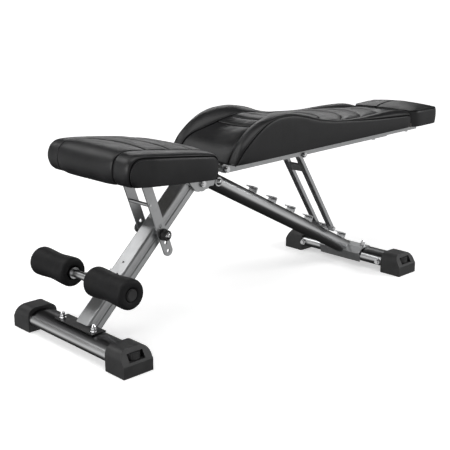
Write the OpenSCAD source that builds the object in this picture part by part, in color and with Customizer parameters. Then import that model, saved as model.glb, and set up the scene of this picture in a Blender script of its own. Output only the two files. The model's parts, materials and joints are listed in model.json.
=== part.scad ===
// Adjustable weight bench. Millimetres, +Z up, +X towards the head pad,
// +Y to the left of someone who looks along +X. The origin is on the floor, under
// the middle of the bench.
// Lengths along X are counted from the front face of the foot-end caps, and
// bench() moves them to the origin. Points are [x, z] pairs in the side view.

/* [Overall] */
// Length over everything
overall_l = 1335; // [1330:5:1345]
// Width of both floor bases
base_w = 450; // [430:5:480]

/* [Bases] */
// Depth of the front caps, along X
front_cap_d = 83; // [82:1:86]
// Depth of the rear caps, along X
rear_cap_d = 81; // [81:1:84]
// Length of a cap, across the bench
cap_l = 68; // [64:1:76]
// Height of a cap
cap_h = 61; // [59:1:64]
// Height of the upright band at a cap's outer end
cap_band = 28; // [26:1:30]
// Depth of the oval base tube
tube_w = 78; // [76:1:79]
// Height of the oval base tube
tube_h = 44; // [42:1:46]
// Wall of the base tubes
tube_wall = 2; // [1.5:0.5:3]
// Front face of the rear base
rear_x = 1019; // [1010:1:1025]

/* [Leg and beam] */
// Angle of the front leg from the floor
leg_a = 43.8; // [43:0.2:45]
// Width of the leg tube
leg_w = 52; // [50:1:54]
// Depth of the leg tube
leg_d = 42; // [40:1:44]
// Slope of the main beam
beam_a = 27.6; // [27:0.2:28]
// Outer radius of the main beam
beam_r = 22.4; // [21:0.2:23]

/* [Ladder] */
// Distance between hooks along the beam
hook_pitch = 89; // [84:1:92]
// Width of a hook, across the bench
hook_w = 30; // [26:1:31]

/* [Seat] */
// Width of the seat cushion
seat_w = 340; // [320:5:360]
// Angle by which the seat's foot end is raised
seat_a = 3.6; // [2:0.2:5]
// Distance between the holes of the seat strut
strut_pitch = 24; // [22:1:25]

/* [Backrest] */
// Width of the backrest cushion
back_w = 260; // [240:5:280]
// Angle of the backrest from the floor
back_a = 1.4; // [0:0.2:3]
// Width of the head pad
head_w = 242; // [230:2:260]

/* [Rollers] */
// Diameter of the foam rollers
roller_d = 72; // [66:1:76]
// Length of one foam roller
roller_l = 140; // [130:1:144]

/* [Hidden] */

steel = [0.55, 0.56, 0.57];
bright = [0.78, 0.79, 0.80];
chrome = [0.85, 0.85, 0.87];
dark_steel = [0.16, 0.16, 0.17];
plastic = [0.13, 0.13, 0.14];
foam = [0.10, 0.10, 0.10];
leather = [0.09, 0.09, 0.10];
timber = [0.72, 0.58, 0.40];

fit = 0.05;                        // running clearance on a radius
cut = 100;                         // half width of a cut that goes right through
gap = 0.4;                         // clearance between faces that move past each other

front_mid = front_cap_d/2;
rear_mid = rear_x + rear_cap_d/2;
tube_z = 31;                       // height of the base tubes' centres
tube_top = tube_z + tube_h/2;
socket_l = 22;                     // how far a base tube enters its cap
tube_l = base_w - 2*cap_l + 2*socket_l;
cap_in = base_w/2 - cap_l;         // y of a cap's inner end
cap_slope = 20;                    // how far a cap's outer end leans in at the top
plate_t = 3;                       // saddle plate

leg_start = [75.9, 53.1];          // a point on the leg's axis
leg_end = 449;                     // length of the axis from there to the leg's top
beam_mid = [700, 221];             // a point on the beam's axis
beam_top_s = -280;                 // upper end of the beam, along its axis
beam_low_s = 392;                  // lower end, before it is cut to the saddle
hook_s = 247;                      // lip of the fifth hook, along the beam

roller_at = [62, 170];             // axis of the rollers
roller_in = 42;                    // y of a roller's inner face
roller_bore = 10 + fit;

seat_pivot = [410, 345];
seat_front = [84, 403.5];          // front lower edge of the seat, on the sloping board line
seat_l = 256;
bar_y = 36;                        // inner face of a seat strut bar
bar_t = 4;
bar_w = 28;
knob_at = [272.5, 240];
strut_top = [222.2, 379];
strut_a = atan2(strut_top[1] - knob_at[1], knob_at[0] - strut_top[0]);
strut_l = norm(knob_at - strut_top);

back_pivot = [477, 375];
support_top = [780, 373.5];        // pivot of the back support on the rails
rail_in = 38.4;                    // y of a backrest rail's inner face
rail_t = 12;
rail_low = -10;
rail_high = 25;
pivot_r = 6;                       // hinge bolt radius
pin_r = 5;
support_w = 18.4;                  // width of one support leg
support_t = 10;
support_y = 18.6;                  // y of a support leg's inner face

function along(p, a, s, n = 0) = [p[0] + s*cos(a) - n*sin(a), p[1] + s*sin(a) + n*cos(a)];
function beam_point(s, n) = along(beam_mid, -beam_a, s, n);
support_foot = beam_point(hook_s + 8, beam_r + pin_r + 0.5);
support_a = atan2(support_top[1] - support_foot[1], support_foot[0] - support_top[0]);
support_l = norm(support_foot - support_top);

// ---------- helpers ----------
module bench() { translate([-overall_l/2, 0, 0]) children(); }
// side-view profile spread from y0 to y1
module slab(y0, y1) {
    translate([0, y1, 0]) rotate([90, 0, 0]) linear_extrude(y1 - y0) children();
}
// round bar across the bench at side-view point p
module bar(p, r, y0, y1, sides = 64) {
    translate([p[0], y0, p[1]]) rotate([-90, 0, 0]) cylinder(r = r, h = y1 - y0, $fn = sides);
}
module hex_bar(p, r, y0, y1) { bar(p, r, y0, y1, 6); }
module mirrored(side) { mirror([0, side > 0 ? 0 : 1, 0]) children(); }
module both() { children(); mirror([0, 1, 0]) children(); }
// frames in which +X runs along a member and +Z is its upper side
module on_leg() { translate([leg_start[0], 0, leg_start[1]]) rotate([0, -leg_a, 0]) children(); }
module on_beam() { translate([beam_mid[0], 0, beam_mid[1]]) rotate([0, beam_a, 0]) children(); }
// round solid along the beam, from s0 to s1
module round_on_beam(r, s0, s1) {
    on_beam() translate([s0, 0, 0]) rotate([0, 90, 0]) cylinder(r = r, h = s1 - s0, $fn = 96);
}
module on_seat() { translate([seat_front[0], 0, seat_front[1]]) rotate([0, seat_a, 0]) children(); }
module on_back() { translate([back_pivot[0], 0, back_pivot[1]]) rotate([0, -back_a, 0]) children(); }
module on_strut() { translate([strut_top[0], 0, strut_top[1]]) rotate([0, strut_a, 0]) children(); }
module on_support() {
    translate([support_top[0], 0, support_top[1]]) rotate([0, support_a, 0]) children();
}

module rounded(w, h, r) {
    translate([-w/2 + r, -h/2]) square([w - 2*r, h]);
    translate([-w/2, -h/2 + r]) square([w, h - 2*r]);
    for (x = [-1, 1], y = [-1, 1]) translate([x*(w/2 - r), y*(h/2 - r)]) circle(r = r, $fn = 32);
}
// oval made of four tangent arcs
module oval(w, h) {
    a = w/2;
    b = h/2;
    r = 0.75*b;
    c = a - r;
    big = (c*c + b*b - r*r)/(2*(b - r));
    join = big*c/(big - r);
    intersection() {
        translate([0, b - big]) circle(r = big, $fn = 160);
        translate([0, big - b]) circle(r = big, $fn = 160);
        square([2*join, 2*b], center = true);
    }
    for (x = [-c, c]) translate([x, 0]) circle(r = r, $fn = 64);
}
// hexagon nut or head with its axis across the bench
module nut_y(p, y0, t, r = 9) { hex_bar(p, r, y0, y0 + t); }

// ---------- bases ----------
module base_tube(mid) {
    translate([mid, 0, tube_z]) slab(-tube_l/2, tube_l/2) difference() {
        oval(tube_w, tube_h);
        oval(tube_w - 2*tube_wall, tube_h - 2*tube_wall);
    }
}
module front_base_tube() { color(bright) bench() base_tube(front_mid); }
module rear_base_tube() { color(bright) bench() base_tube(rear_mid); }

wheel_r = 19;
wheel_y = base_w/2 - 24.5;
wheel_z = 34.5;
wheel_t = 16;
window_w = 44;                     // width of the window in a cap
foot_r = 13;
stem_r = 4;

module cap_outline(d) {
    r = 22;
    square([d, cap_h - r]);
    translate([r, 0]) square([d - 2*r, cap_h]);
    for (x = [r, d - r]) translate([x, cap_h - r]) circle(r = r, $fn = 64);
}
module cap(x0, d) {
    difference() {
        translate([x0, 0, 0]) slab(cap_in, base_w/2) cap_outline(d);
        // socket for the tube
        translate([x0 + d/2, 0, tube_z]) slab(cap_in - 1, cap_in + socket_l)
            oval(tube_w + gap, tube_h + gap);
        // leaning outer end
        translate([x0 - 1, 0, 0]) rotate([90, 0, 90]) linear_extrude(d + 2) polygon([
            [base_w/2, cap_band], [base_w/2 + 2, cap_band], [base_w/2 + 2, cap_h + 2],
            [base_w/2 - cap_slope - 1.2, cap_h + 2]]);
        // window and chamber of the levelling wheel
        translate([x0 + d/2 - window_w/2, wheel_y - wheel_r - 1, wheel_z - 1])
            cube([window_w, 60, wheel_t + 2]);
        // bore of its stem and recess of its foot
        translate([x0 + d/2, wheel_y, -1]) cylinder(r = stem_r + fit, h = wheel_z + 2, $fn = 48);
        translate([x0 + d/2, wheel_y, -1]) cylinder(r = foot_r + 1, h = 7, $fn = 64);
    }
}
module front_cap(side) { color(plastic) bench() mirrored(side) cap(0, front_cap_d); }
module rear_cap(side) { color(plastic) bench() mirrored(side) cap(rear_x, rear_cap_d); }
module front_cap_left() { front_cap(1); }
module front_cap_right() { front_cap(-1); }
module rear_cap_left() { rear_cap(1); }
module rear_cap_right() { rear_cap(-1); }

// ribbed thumb wheel with its threaded stem and round foot
module level_wheel(x) {
    ribs = 24;
    translate([x, wheel_y, wheel_z]) linear_extrude(wheel_t) difference() {
        circle(r = wheel_r, $fn = 80);
        for (i = [0:ribs - 1]) rotate(i*360/ribs) translate([wheel_r, 0]) circle(r = 1.3, $fn = 16);
    }
    translate([x, wheel_y, 2]) cylinder(r = stem_r, h = wheel_z - 2, $fn = 48);
    translate([x, wheel_y, 1]) cylinder(r = foot_r, h = 4, $fn = 64);
}
module front_wheel(side) { color(dark_steel) bench() mirrored(side) level_wheel(front_mid); }
module rear_wheel(side) { color(dark_steel) bench() mirrored(side) level_wheel(rear_mid); }
module front_wheel_left() { front_wheel(1); }
module front_wheel_right() { front_wheel(-1); }
module rear_wheel_left() { rear_wheel(1); }
module rear_wheel_right() { rear_wheel(-1); }

// ---------- saddles ----------
saddle_top = tube_top + plate_t;
front_plate_x = [24.5, 64];
front_tab = [92, tube_top - 20];   // lower end of the tab behind the front tube
saddle_bolt_y = 63;
saddle_bolt_x = 39;

rear_bolt_x = rear_x + 34;

module saddle_holes(x) {
    for (s = [-1, 1]) translate([x, s*saddle_bolt_y, tube_top - 1]) cylinder(r = 4, h = 6, $fn = 32);
}
module front_tab_outline() {
    polygon([[front_plate_x[1], tube_top], [front_plate_x[1], saddle_top],
        [front_tab[0] + 2.2, front_tab[1] + 2], front_tab]);
}
module front_saddle_plate() {
    color(dark_steel) bench() difference() {
        union() {
            slab(-77, 77) translate([front_plate_x[0], tube_top])
                square([front_plate_x[1] - front_plate_x[0], plate_t]);
            slab(-leg_w/2 - 4, leg_w/2 + 4) front_tab_outline();
        }
        saddle_holes(saddle_bolt_x);
    }
}
rear_flange = [[rear_x + 3, 13], [rear_x - 4.5, 40], [rear_x + 13, saddle_top],
    [rear_x + 51, saddle_top]];
module rear_saddle_outline() {
    polygon(concat(rear_flange,
        [[rear_x + 51, tube_top], [rear_x + 14.5, tube_top], [rear_x - 1.4, 39.6],
            [rear_x + 5.6, 14.2]]));
}
module rear_saddle_plate() {
    color(steel) bench() difference() {
        slab(-77, 77) rear_saddle_outline();
        saddle_holes(rear_bolt_x);
        translate([rear_x, 0, 0]) rear_oval_room();
    }
}
// room for the rear tube inside the saddle
module rear_oval_room() {
    translate([rear_cap_d/2, 0, tube_z]) slab(-cut, cut) oval(tube_w + 2*fit, tube_h);
}

// carriage bolt with nut and end cap, standing on the plate
module saddle_bolt(x, y) {
    translate([x, y, tube_top - tube_wall]) cylinder(r = 4, h = tube_wall + plate_t + 14, $fn = 32);
    translate([x, y, saddle_top]) cylinder(r = 8, h = 1.6, $fn = 48);
    translate([x, y, saddle_top + 1.6]) cylinder(r = 7, h = 6.4, $fn = 6);
    translate([x, y, saddle_top + 8]) cylinder(r = 6.2, h = 5, $fn = 6);
    translate([x, y, saddle_top + 13]) cylinder(r1 = 5.4, r2 = 3, h = 4, $fn = 32);
}
module front_saddle_bolts() {
    color(chrome) bench() difference() {
        union() for (s = [-1, 1]) saddle_bolt(saddle_bolt_x, s*saddle_bolt_y);
        translate([front_mid, 0, tube_z]) slab(-cut, cut) oval(tube_w, tube_h);
    }
}
module rear_saddle_bolts() {
    color(chrome) bench() difference() {
        union() for (s = [-1, 1]) saddle_bolt(rear_bolt_x, s*saddle_bolt_y);
        translate([rear_mid, 0, tube_z]) slab(-cut, cut) oval(tube_w, tube_h);
    }
}
// hexagon screws with round washers, on the front of the rear tube
module rear_tube_bolts() {
    color(chrome) bench() difference() {
        for (s = [-1, 1]) translate([rear_x - 10, s*(cap_in - 10), tube_z]) rotate([0, 90, 0]) {
            cylinder(r = 6.5, h = 6, $fn = 6);
            translate([0, 0, 6]) cylinder(r = 8.5, h = 12, $fn = 48);
        }
        translate([rear_mid, 0, tube_z]) slab(-base_w/2, base_w/2) oval(tube_w, tube_h);
    }
}

// ---------- leg ----------
groove_r = 5.5;
module leg_section() {
    difference() {
        rounded(leg_w, leg_d, 6);
        for (s = [-1, 1]) translate([s*(leg_w/2 + 2.5), 0]) circle(r = groove_r, $fn = 48);
    }
}
module leg_hollow() {
    difference() {
        rounded(leg_w - 4, leg_d - 4, 4);
        for (s = [-1, 1]) translate([s*(leg_w/2 + 2.5), 0]) circle(r = groove_r + 2, $fn = 48);
    }
}
// rotates a section drawn with x across and y up so that it is swept along +X
module sweep_x(l) { rotate([90, 0, 90]) linear_extrude(l) children(); }
module front_leg() {
    color(steel) bench() difference() {
        on_leg() translate([-70, 0, 0]) sweep_x(leg_end + 70) difference() {
            leg_section();
            leg_hollow();
        }
        // foot cut to the saddle plate
        slab(-cut, cut) polygon([[-60, -60], [-60, saddle_top], [front_plate_x[1], saddle_top],
            front_tab + [2.2, 2], front_tab + [42, -40], [100, -60]]);
        on_leg() translate([drain_s, 0, leg_d/2 - 6]) cylinder(r = 3, h = 10, $fn = 32);
        bar(knob_at, 5, -cut, cut);
        bar(seat_pivot, pin_r, -cut, cut);
        arm_opening();
    }
}
function leg_s(p) = (p[0] - leg_start[0])*cos(leg_a) + (p[1] - leg_start[1])*sin(leg_a);
arm_s = 118;                        // where the roller arm meets the leg
arm_w = 24;                         // width of the arm, across the bench
arm_l = 22;                         // size of its stub along the leg
drain_s = 162;                      // small drain hole in the leg's front face
// opening in the leg and its collar for the arm's stub
module arm_opening() {
    on_leg() translate([arm_s - arm_l/2 - fit, -arm_w/2 - fit, 0])
        cube([arm_l + 2*fit, arm_w + 2*fit, leg_d]);
}
// welded collar round the leg, where the roller arm enters
module leg_collar() {
    color(steel) bench() difference() {
        on_leg() translate([arm_s - 17.5, 0, 0]) sweep_x(35) difference() {
            rounded(leg_w + 5, leg_d + 5, 8);
            rounded(leg_w + 2*fit, leg_d + 2*fit, 6);
        }
        arm_opening();
    }
}
// stub on the leg and a flat arm from it to the rollers' rod
module roller_arm() {
    elbow = along(leg_start, leg_a, arm_s, leg_d/2 + 5);
    arm_a = atan2(elbow[1] - roller_at[1], elbow[0] - roller_at[0]);
    arm_h = 16;
    color(steel) bench() difference() {
        union() {
            on_leg() translate([arm_s - arm_l/2, -arm_w/2, leg_d/2 - 14]) cube([arm_l, arm_w, 22]);
            slab(-arm_w/2 + 1, arm_w/2 - 1) polygon([
                along(roller_at, arm_a, 2, arm_h/2), along(elbow, arm_a, 0, arm_h/2),
                along(elbow, arm_a, 0, -arm_h/2), along(roller_at, arm_a, 2, -arm_h/2)]);
        }
        bar(roller_at, 10, -20, 20);
    }
}
module roller_rod() {
    l = roller_in + roller_l;
    color(bright) bench() difference() {
        union() {
            bar(roller_at, 10, -l + 6, l - 6);
            both() bar(roller_at, 14, roller_in - 4, roller_in - gap);
        }
        bar(roller_at, 8, -l, l);
    }
}
module roller(side) {
    color(foam) bench() mirrored(side) difference() {
        translate([roller_at[0], roller_in, roller_at[1]]) rotate([-90, 0, 0])
            rotate_extrude($fn = 96) polygon(concat(
            [[roller_bore, 0]],
            [for (a = [0:15:90]) [roller_d/2 - 5 + 5*sin(a), 5 - 5*cos(a)]],
            [for (i = [1:9]) [roller_d/2 - 1.5*sin(18*i), 5 + (roller_l - 10)*i/10]],
            [for (a = [0:15:90]) [roller_d/2 - 5 + 5*cos(a), roller_l - 5 + 5*sin(a)]],
            [[16, roller_l], [16, roller_l - 5], [roller_bore, roller_l - 5]]));
    }
}
module roller_left() { roller(1); }
module roller_right() { roller(-1); }
module roller_plug(side) {
    y0 = roller_in + roller_l;
    color(plastic) bench() mirrored(side) {
        bar(roller_at, 7.9, y0 - 26, y0 - 4);
        bar(roller_at, 14.5, y0 - 4.4, y0 - 1);
        bar(roller_at, 12, y0 - 1, y0 + 1);
    }
}
module roller_plug_left() { roller_plug(1); }
module roller_plug_right() { roller_plug(-1); }

// ---------- beam ----------
sleeve_at = beam_point(-258, 0);
sleeve_r = 12;
module main_beam() {
    color(bright) bench() difference() {
        round_on_beam(beam_r, beam_top_s, beam_low_s);
        round_on_beam(beam_r - 2.5, beam_top_s - 1, beam_low_s + 1);
        bar(sleeve_at, sleeve_r, -cut, cut);
        slab(-cut, cut) polygon(concat(rear_flange,
            [[rear_x + 200, saddle_top], [rear_x + 200, -60], [rear_x + 20, -60]]));
    }
}
// plug in the open upper end of the beam
module beam_plug() {
    color(plastic) bench() {
        round_on_beam(beam_r - 0.4, beam_top_s - 3, beam_top_s);
        round_on_beam(beam_r - 2.7, beam_top_s, beam_top_s + 9);
    }
}
module cross_sleeve() {
    half = 31;
    head_r = 8.5;
    color(bright) bench() {
        bar(sleeve_at, sleeve_r, -half, half);
        both() translate([sleeve_at[0], half, sleeve_at[1]]) rotate([-90, 0, 0])
            rotate_extrude($fn = 64) polygon(concat([[0, 0]],
                [for (a = [0:15:90]) [head_r*cos(a), 7*sin(a)]]));
    }
}
gusset_t = 4;
gusset_s = -271.5;                  // where the plates end, along the beam
module gusset_outline() {
    difference() {
        union() {
            polygon([along(leg_start, leg_a, leg_end - 27, -leg_d/2 + 8),
                along(leg_start, leg_a, leg_end - 37, leg_d/2 - 3),
                along(leg_start, leg_a, leg_end, leg_d/2 - 3), [424, 366],
                beam_point(gusset_s, beam_r - 5), beam_point(gusset_s, -beam_r + 8),
                [438, 334], [428, 329.5], [414, 326]]);
            translate(seat_pivot) circle(r = 19, $fn = 64);
        }
        translate(seat_pivot) circle(r = pin_r, $fn = 48);
    }
}
module gusset_plates() {
    color(steel) bench() both() slab(leg_w/2, leg_w/2 + gusset_t) gusset_outline();
}
hook_profile = [[17, -4], [17, 13.6], [12, 14.2], [0, 13.2], [0, 9.8], [11.5, 10.6], [13, 9.6],
    [13, -4]];
module ladder_hooks() {
    color(steel) bench() on_beam() difference() {
        for (i = [-4:1]) translate([hook_s + i*hook_pitch, 0, beam_r])
            slab(-hook_w/2, hook_w/2) polygon(hook_profile);
        translate([beam_top_s, 0, 0]) rotate([0, 90, 0])
            cylinder(r = beam_r, h = beam_low_s - beam_top_s, $fn = 96);
        // two notches in each lip
        for (i = [-4:1], y = [-6, 6]) translate([hook_s + i*hook_pitch + 7, y, beam_r])
            cylinder(r = 2.2, h = 20, $fn = 24);
    }
}

// ---------- backrest hinge ----------
hinge_s = (back_pivot[0] - beam_mid[0])*cos(beam_a)
    - (back_pivot[1] - beam_mid[1])*sin(beam_a);
module hinge_saddle() {
    color(steel) bench() difference() {
        on_beam() translate([hinge_s - 13, -15, 8]) cube([26, 30, 24]);
        bar(back_pivot, 9, -cut, cut);
        round_on_beam(beam_r, beam_top_s - 5, beam_low_s);
    }
}
module hinge_tube() {
    color(bright) bench() difference() {
        bar(back_pivot, 9, -rail_in + gap, rail_in - gap);
        bar(back_pivot, pivot_r, -cut, cut);
    }
}
module hinge_bolt() {
    y1 = rail_in + rail_t;
    color(chrome) bench() {
        bar(back_pivot, pivot_r, -y1 - 10, y1 + 10);
        nut_y(back_pivot, y1 + gap, 7, 9.5);
        nut_y(back_pivot, -y1 - gap - 7, 7, 9.5);
    }
}

// ---------- seat ----------
board_t = 12;
seat_ear_y = leg_w/2 + gusset_t + gap;
module seat_frame_outline() {
    difference() {
        union() {
            polygon([along(seat_front, -seat_a, 60), along(seat_front, -seat_a, seat_l - 8),
                along(seat_front, -seat_a, seat_l + 8, -6), [395, 370], [428, 358], [434, 334],
                [428, 329.5], [397, 326], [388, 328.5], [370, 349], [364, 362],
                along(seat_front, -seat_a, seat_l - 40, -20),
                along(seat_front, -seat_a, 140, -26), along(seat_front, -seat_a, 60, -14)]);
            translate(seat_pivot) circle(r = 19.6, $fn = 64);
        }
        translate(seat_pivot) circle(r = pin_r + fit, $fn = 64);
        translate(strut_top) circle(r = pin_r + fit, $fn = 64);
    }
}
// two ear plates joined by flat cross strips under the board
module seat_frame() {
    color(steel) bench() {
        both() slab(seat_ear_y, seat_ear_y + 4) seat_frame_outline();
        for (s = [66, 214]) on_seat() translate([s, -seat_ear_y, -3]) cube([26, 2*seat_ear_y, 3]);
    }
}
module seat_board() {
    color(timber) bench() on_seat() difference() {
        translate([14, -seat_w/2 + 22, 0]) cube([seat_l - 28, seat_w - 44, board_t]);
        for (s = [79, 227], y = [-20, 20]) translate([s, y, -1]) cylinder(r = 3, h = 20, $fn = 32);
    }
}
module seat_screws() {
    color(chrome) bench() on_seat() for (s = [79, 227], y = [-20, 20]) translate([s, y, -6]) {
        cylinder(r = 5, h = 3, $fn = 6);
    }
}
// plain closed solid of the seat pad, with room for its board
seat_high = 70;                    // thickness of the pad at its foot end
seat_thin = 62;                    // thickness at its rear
seat_nose = [[14, 0], [0, 22], [-6, 36], [0, 54], [12, 66], [30, seat_high]];
module seat_cushion() {
    r = 50;
    color(leather) bench() on_seat() difference() {
        intersection() {
            slab(-seat_w/2, seat_w/2) polygon(concat(seat_nose,
                [[seat_l - 14, seat_thin], [seat_l, seat_thin - 14], [seat_l, 0]]));
            // round front corners
            linear_extrude(120) {
                translate([r - 12, -seat_w/2]) square([seat_l, seat_w]);
                translate([-12, r - seat_w/2]) square([seat_l, seat_w - 2*r]);
                for (s = [-1, 1]) translate([r - 12, s*(seat_w/2 - r)]) circle(r = r, $fn = 64);
            }
        }
        translate([13.5, -seat_w/2 + 21.5, -1]) cube([seat_l - 27, seat_w - 43, board_t + 1]);
    }
}
module seat_pivot_bolt() {
    y1 = seat_ear_y + 4 + gap;
    color(chrome) bench() {
        bar(seat_pivot, pin_r, -y1 - 8, y1 + 8);
        nut_y(seat_pivot, y1, 6, 8.5);
        nut_y(seat_pivot, -y1 - 6, 6, 8.5);
    }
}

// ---------- seat strut ----------
// bar with a round lower end and a row of holes, pin hole first
module strut_bar(side) {
    holes = [for (i = [-1:2]) strut_l + i*strut_pitch];
    color(steel) bench() mirrored(side) on_strut() slab(bar_y, bar_y + bar_t) difference() {
        union() {
            translate([0, -bar_w/2]) square([holes[3], bar_w]);
            circle(r = bar_w/2, $fn = 64);
            translate([holes[3], 0]) circle(r = bar_w/2, $fn = 64);
        }
        circle(r = pin_r + fit, $fn = 48);
        for (h = holes) translate([h, 0]) circle(r = 4.5, $fn = 48);
        translate([spacer_s, spacer_n]) circle(r = 3, $fn = 32);
    }
}
spacer_s = 60;
spacer_n = -9;
module strut_bar_left() { strut_bar(1); }
module strut_bar_right() { strut_bar(-1); }
module strut_spacer() {
    color(bright) bench() on_strut() {
        bar([spacer_s, spacer_n], 4.5, -bar_y, bar_y);
        bar([spacer_s, spacer_n], 3, -bar_y - bar_t - 1.5, bar_y + bar_t + 1.5);
    }
}
module strut_top_pin() {
    y1 = bar_y + bar_t;
    color(chrome) bench() {
        bar(strut_top, pin_r, -y1 - 8, y1 + 8);
        nut_y(strut_top, y1 + 0.2, 6, 8.5);
        nut_y(strut_top, -y1 - 6.2, 6, 8.5);
    }
}
// bushes on the leg that the knobs screw into
module strut_bushes() {
    color(steel) bench() both() difference() {
        bar(knob_at, 9, leg_w/2 - 4, bar_y - gap);
        bar(knob_at, 3, 0, bar_y + 1);
        on_leg() translate([leg_s(knob_at) - 40, 0, 0]) sweep_x(80) leg_section();
    }
}
// round knob whose head clamps the bar
module knob(side) {
    y0 = bar_y + bar_t + gap;
    lobes = 12;
    color(plastic) bench() mirrored(side) difference() {
        union() {
            bar(knob_at, 15, y0, y0 + 3);
            bar(knob_at, 8, y0 + 3, y0 + 6);
            bar(knob_at, 13.5, y0 + 6, y0 + 16);
            translate([knob_at[0], y0 + 16, knob_at[1]]) rotate([-90, 0, 0])
                cylinder(r1 = 13.5, r2 = 10.5, h = 3, $fn = 64);
        }
        for (i = [0:lobes - 1]) bar(along(knob_at, i*360/lobes, 14.6), 2, y0 + 5.9, y0 + 25);
        bar(knob_at, 4, y0 + 17, y0 + 25);
    }
}
module knob_left() { knob(1); }
module knob_right() { knob(-1); }

// ---------- backrest frame ----------
back_board_x = [-25, 698];
function on_back_xz(p) = [(p[0] - back_pivot[0])*cos(back_a) + (p[1] - back_pivot[1])*sin(back_a),
    (p[1] - back_pivot[1])*cos(back_a) - (p[0] - back_pivot[0])*sin(back_a)];
top_local = on_back_xz(support_top);
// both ends of the head pad, along the backrest
head_x = [722, (overall_l - back_pivot[0] + rail_high*sin(back_a))/cos(back_a)];
head_high = 18.5;                  // top of the rails under the head pad
rear_low = rail_low + 2.5;         // underside of the rails' rear part
rail_end = 850;
head_l = head_x[1] - head_x[0];
module back_rail(side) {
    color(steel) bench() mirrored(side) on_back() difference() {
        slab(rail_in, rail_in + rail_t) difference() {
            union() {
                polygon([[0, rail_low], [690, rail_low], [694, rear_low], [rail_end, rear_low],
                    [rail_end, head_high], [head_x[0] - 2, head_high], [head_x[0] - 2, rail_high],
                    [6, rail_high], [-12, 12]]);
                circle(r = -rail_low, $fn = 64);
            }
            circle(r = pivot_r + fit, $fn = 64);
            translate(top_local) circle(r = pin_r + fit, $fn = 64);
        }
        // hollow of the folded steel channel, open on the inner side
        translate([30, rail_in - 1, rail_low + 2.5]) cube([top_local[0] - 60, rail_t - 1.5, 30]);
        translate([top_local[0] + 25, rail_in - 1, rail_low + 2.5]) cube([320, rail_t - 1.5, 30]);
    }
}
module back_rail_left() { back_rail(1); }
module back_rail_right() { back_rail(-1); }
// [place along the rails, underside] of the bolts under each rail
rail_bolts = [[632, rail_low], [802, rear_low]];
// [place along the rails, top] of each cross bar
cross_bars = [[60, rail_high], [400, rail_high], [head_x[0] + 40, head_high]];
module back_cross_bars() {
    color(steel) bench() on_back() for (b = cross_bars) {
        translate([b[0], -rail_in, b[1] - 10]) cube([24, 2*rail_in, 10]);
    }
}
module back_board() {
    color(timber) bench() on_back() difference() {
        translate([back_board_x[0], -back_w/2 + 16, rail_high])
            cube([back_board_x[1] - back_board_x[0], back_w - 32, board_t]);
        for (i = [0, 1], y = [-20, 20])
            translate([cross_bars[i][0] + 12, y, rail_high - 1]) cylinder(r = 3, h = 20, $fn = 32);
    }
}
module head_board() {
    color(timber) bench() on_back() translate([head_x[0] + 12, -head_w/2 + 14, head_high])
        cube([head_l - 28, head_w - 28, board_t]);
}
module back_screws() {
    color(chrome) bench() on_back() {
        for (b = cross_bars, y = [-20, 20])
            translate([b[0] + 12, y, b[1] - 13]) cylinder(r = 5, h = 3, $fn = 6);
        for (b = rail_bolts, s = [-1, 1])
            translate([b[0], s*(rail_in + rail_t/2), b[1] - 4]) cylinder(r = 5, h = 4, $fn = 6);
    }
}
// plain closed solid of the backrest pad, with room for its board
back_profile = [[-40, 0], [-20, 34], [20, 66], [62, 88], [110, 102], [160, 106], [210, 98], [270, 80],
    [350, 60], [450, 49], [600, 37], [700, 31], [712, 24], [716, 0]];
module back_cushion() {
    color(leather) bench() on_back() difference() {
        translate([0, 0, rail_high]) slab(-back_w/2, back_w/2) polygon(back_profile);
        translate([back_board_x[0] - 0.5, -back_w/2 + 15.5, rail_high - 1])
            cube([back_board_x[1] - back_board_x[0] + 1, back_w - 31, board_t + 1]);
    }
}
head_profile = [[2, 0], [0, 40], [14, 51], [60, 56], [head_l - 26, 55], [head_l - 7, 45],
    [head_l - 2, 32], [head_l, 0]];
module head_pad() {
    color(leather) bench() on_back() difference() {
        translate([head_x[0], 0, head_high]) slab(-head_w/2, head_w/2) polygon(head_profile);
        translate([head_x[0] + 11.5, -head_w/2 + 13.5, head_high - 1])
            cube([head_l - 27, head_w - 27, board_t + 1]);
    }
}

// ---------- back support ----------
channel_t = 2;                     // wall of the legs, which are open channels
foot_tail = 11;
tail_s = support_l + foot_tail - support_t/2;
module support_leg(side) {
    color(steel) bench() mirrored(side) on_support() difference() {
        union() {
            slab(support_y, support_y + support_w) translate([0, -support_t/2])
                square([tail_s, support_t]);
            bar([tail_s, 0], support_t/2, support_y, support_y + support_w);
            bar([0, 0], 9, support_y, support_y + support_w);
        }
        bar([0, 0], pin_r + fit, 0, cut);
        bar([support_l, 0], 3, 0, cut);
        // open side of the channel
        translate([14, support_y + channel_t, -support_t/2 - channel_t])
            cube([support_l - 28, support_w - 2*channel_t, support_t]);
    }
}
module support_leg_left() { support_leg(1); }
module support_leg_right() { support_leg(-1); }
module support_top_rod() {
    y1 = rail_in + rail_t;
    color(chrome) bench() {
        bar(support_top, pin_r, -y1 - 8, y1 + 8);
        nut_y(support_top, y1 + 0.2, 6, 8);
        nut_y(support_top, -y1 - 6.2, 6, 8);
        bar(support_top, 8, -support_y + gap, support_y - gap);
    }
}
// the two ends of the foot rod, one on each leg
module support_foot_pins() {
    y1 = support_y + support_w;
    color(chrome) bench() both() {
        bar(support_foot, pin_r, hook_w/2 + 0.5, support_y);
        bar(support_foot, 3, support_y, y1);
        hex_bar(support_foot, 6, y1, y1 + 4);
    }
}
// flat strip that ties the two support legs together
module support_brace() {
    color(steel) bench() on_support() translate([40, -support_y, -3]) cube([26, 2*support_y, 6]);
}

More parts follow.
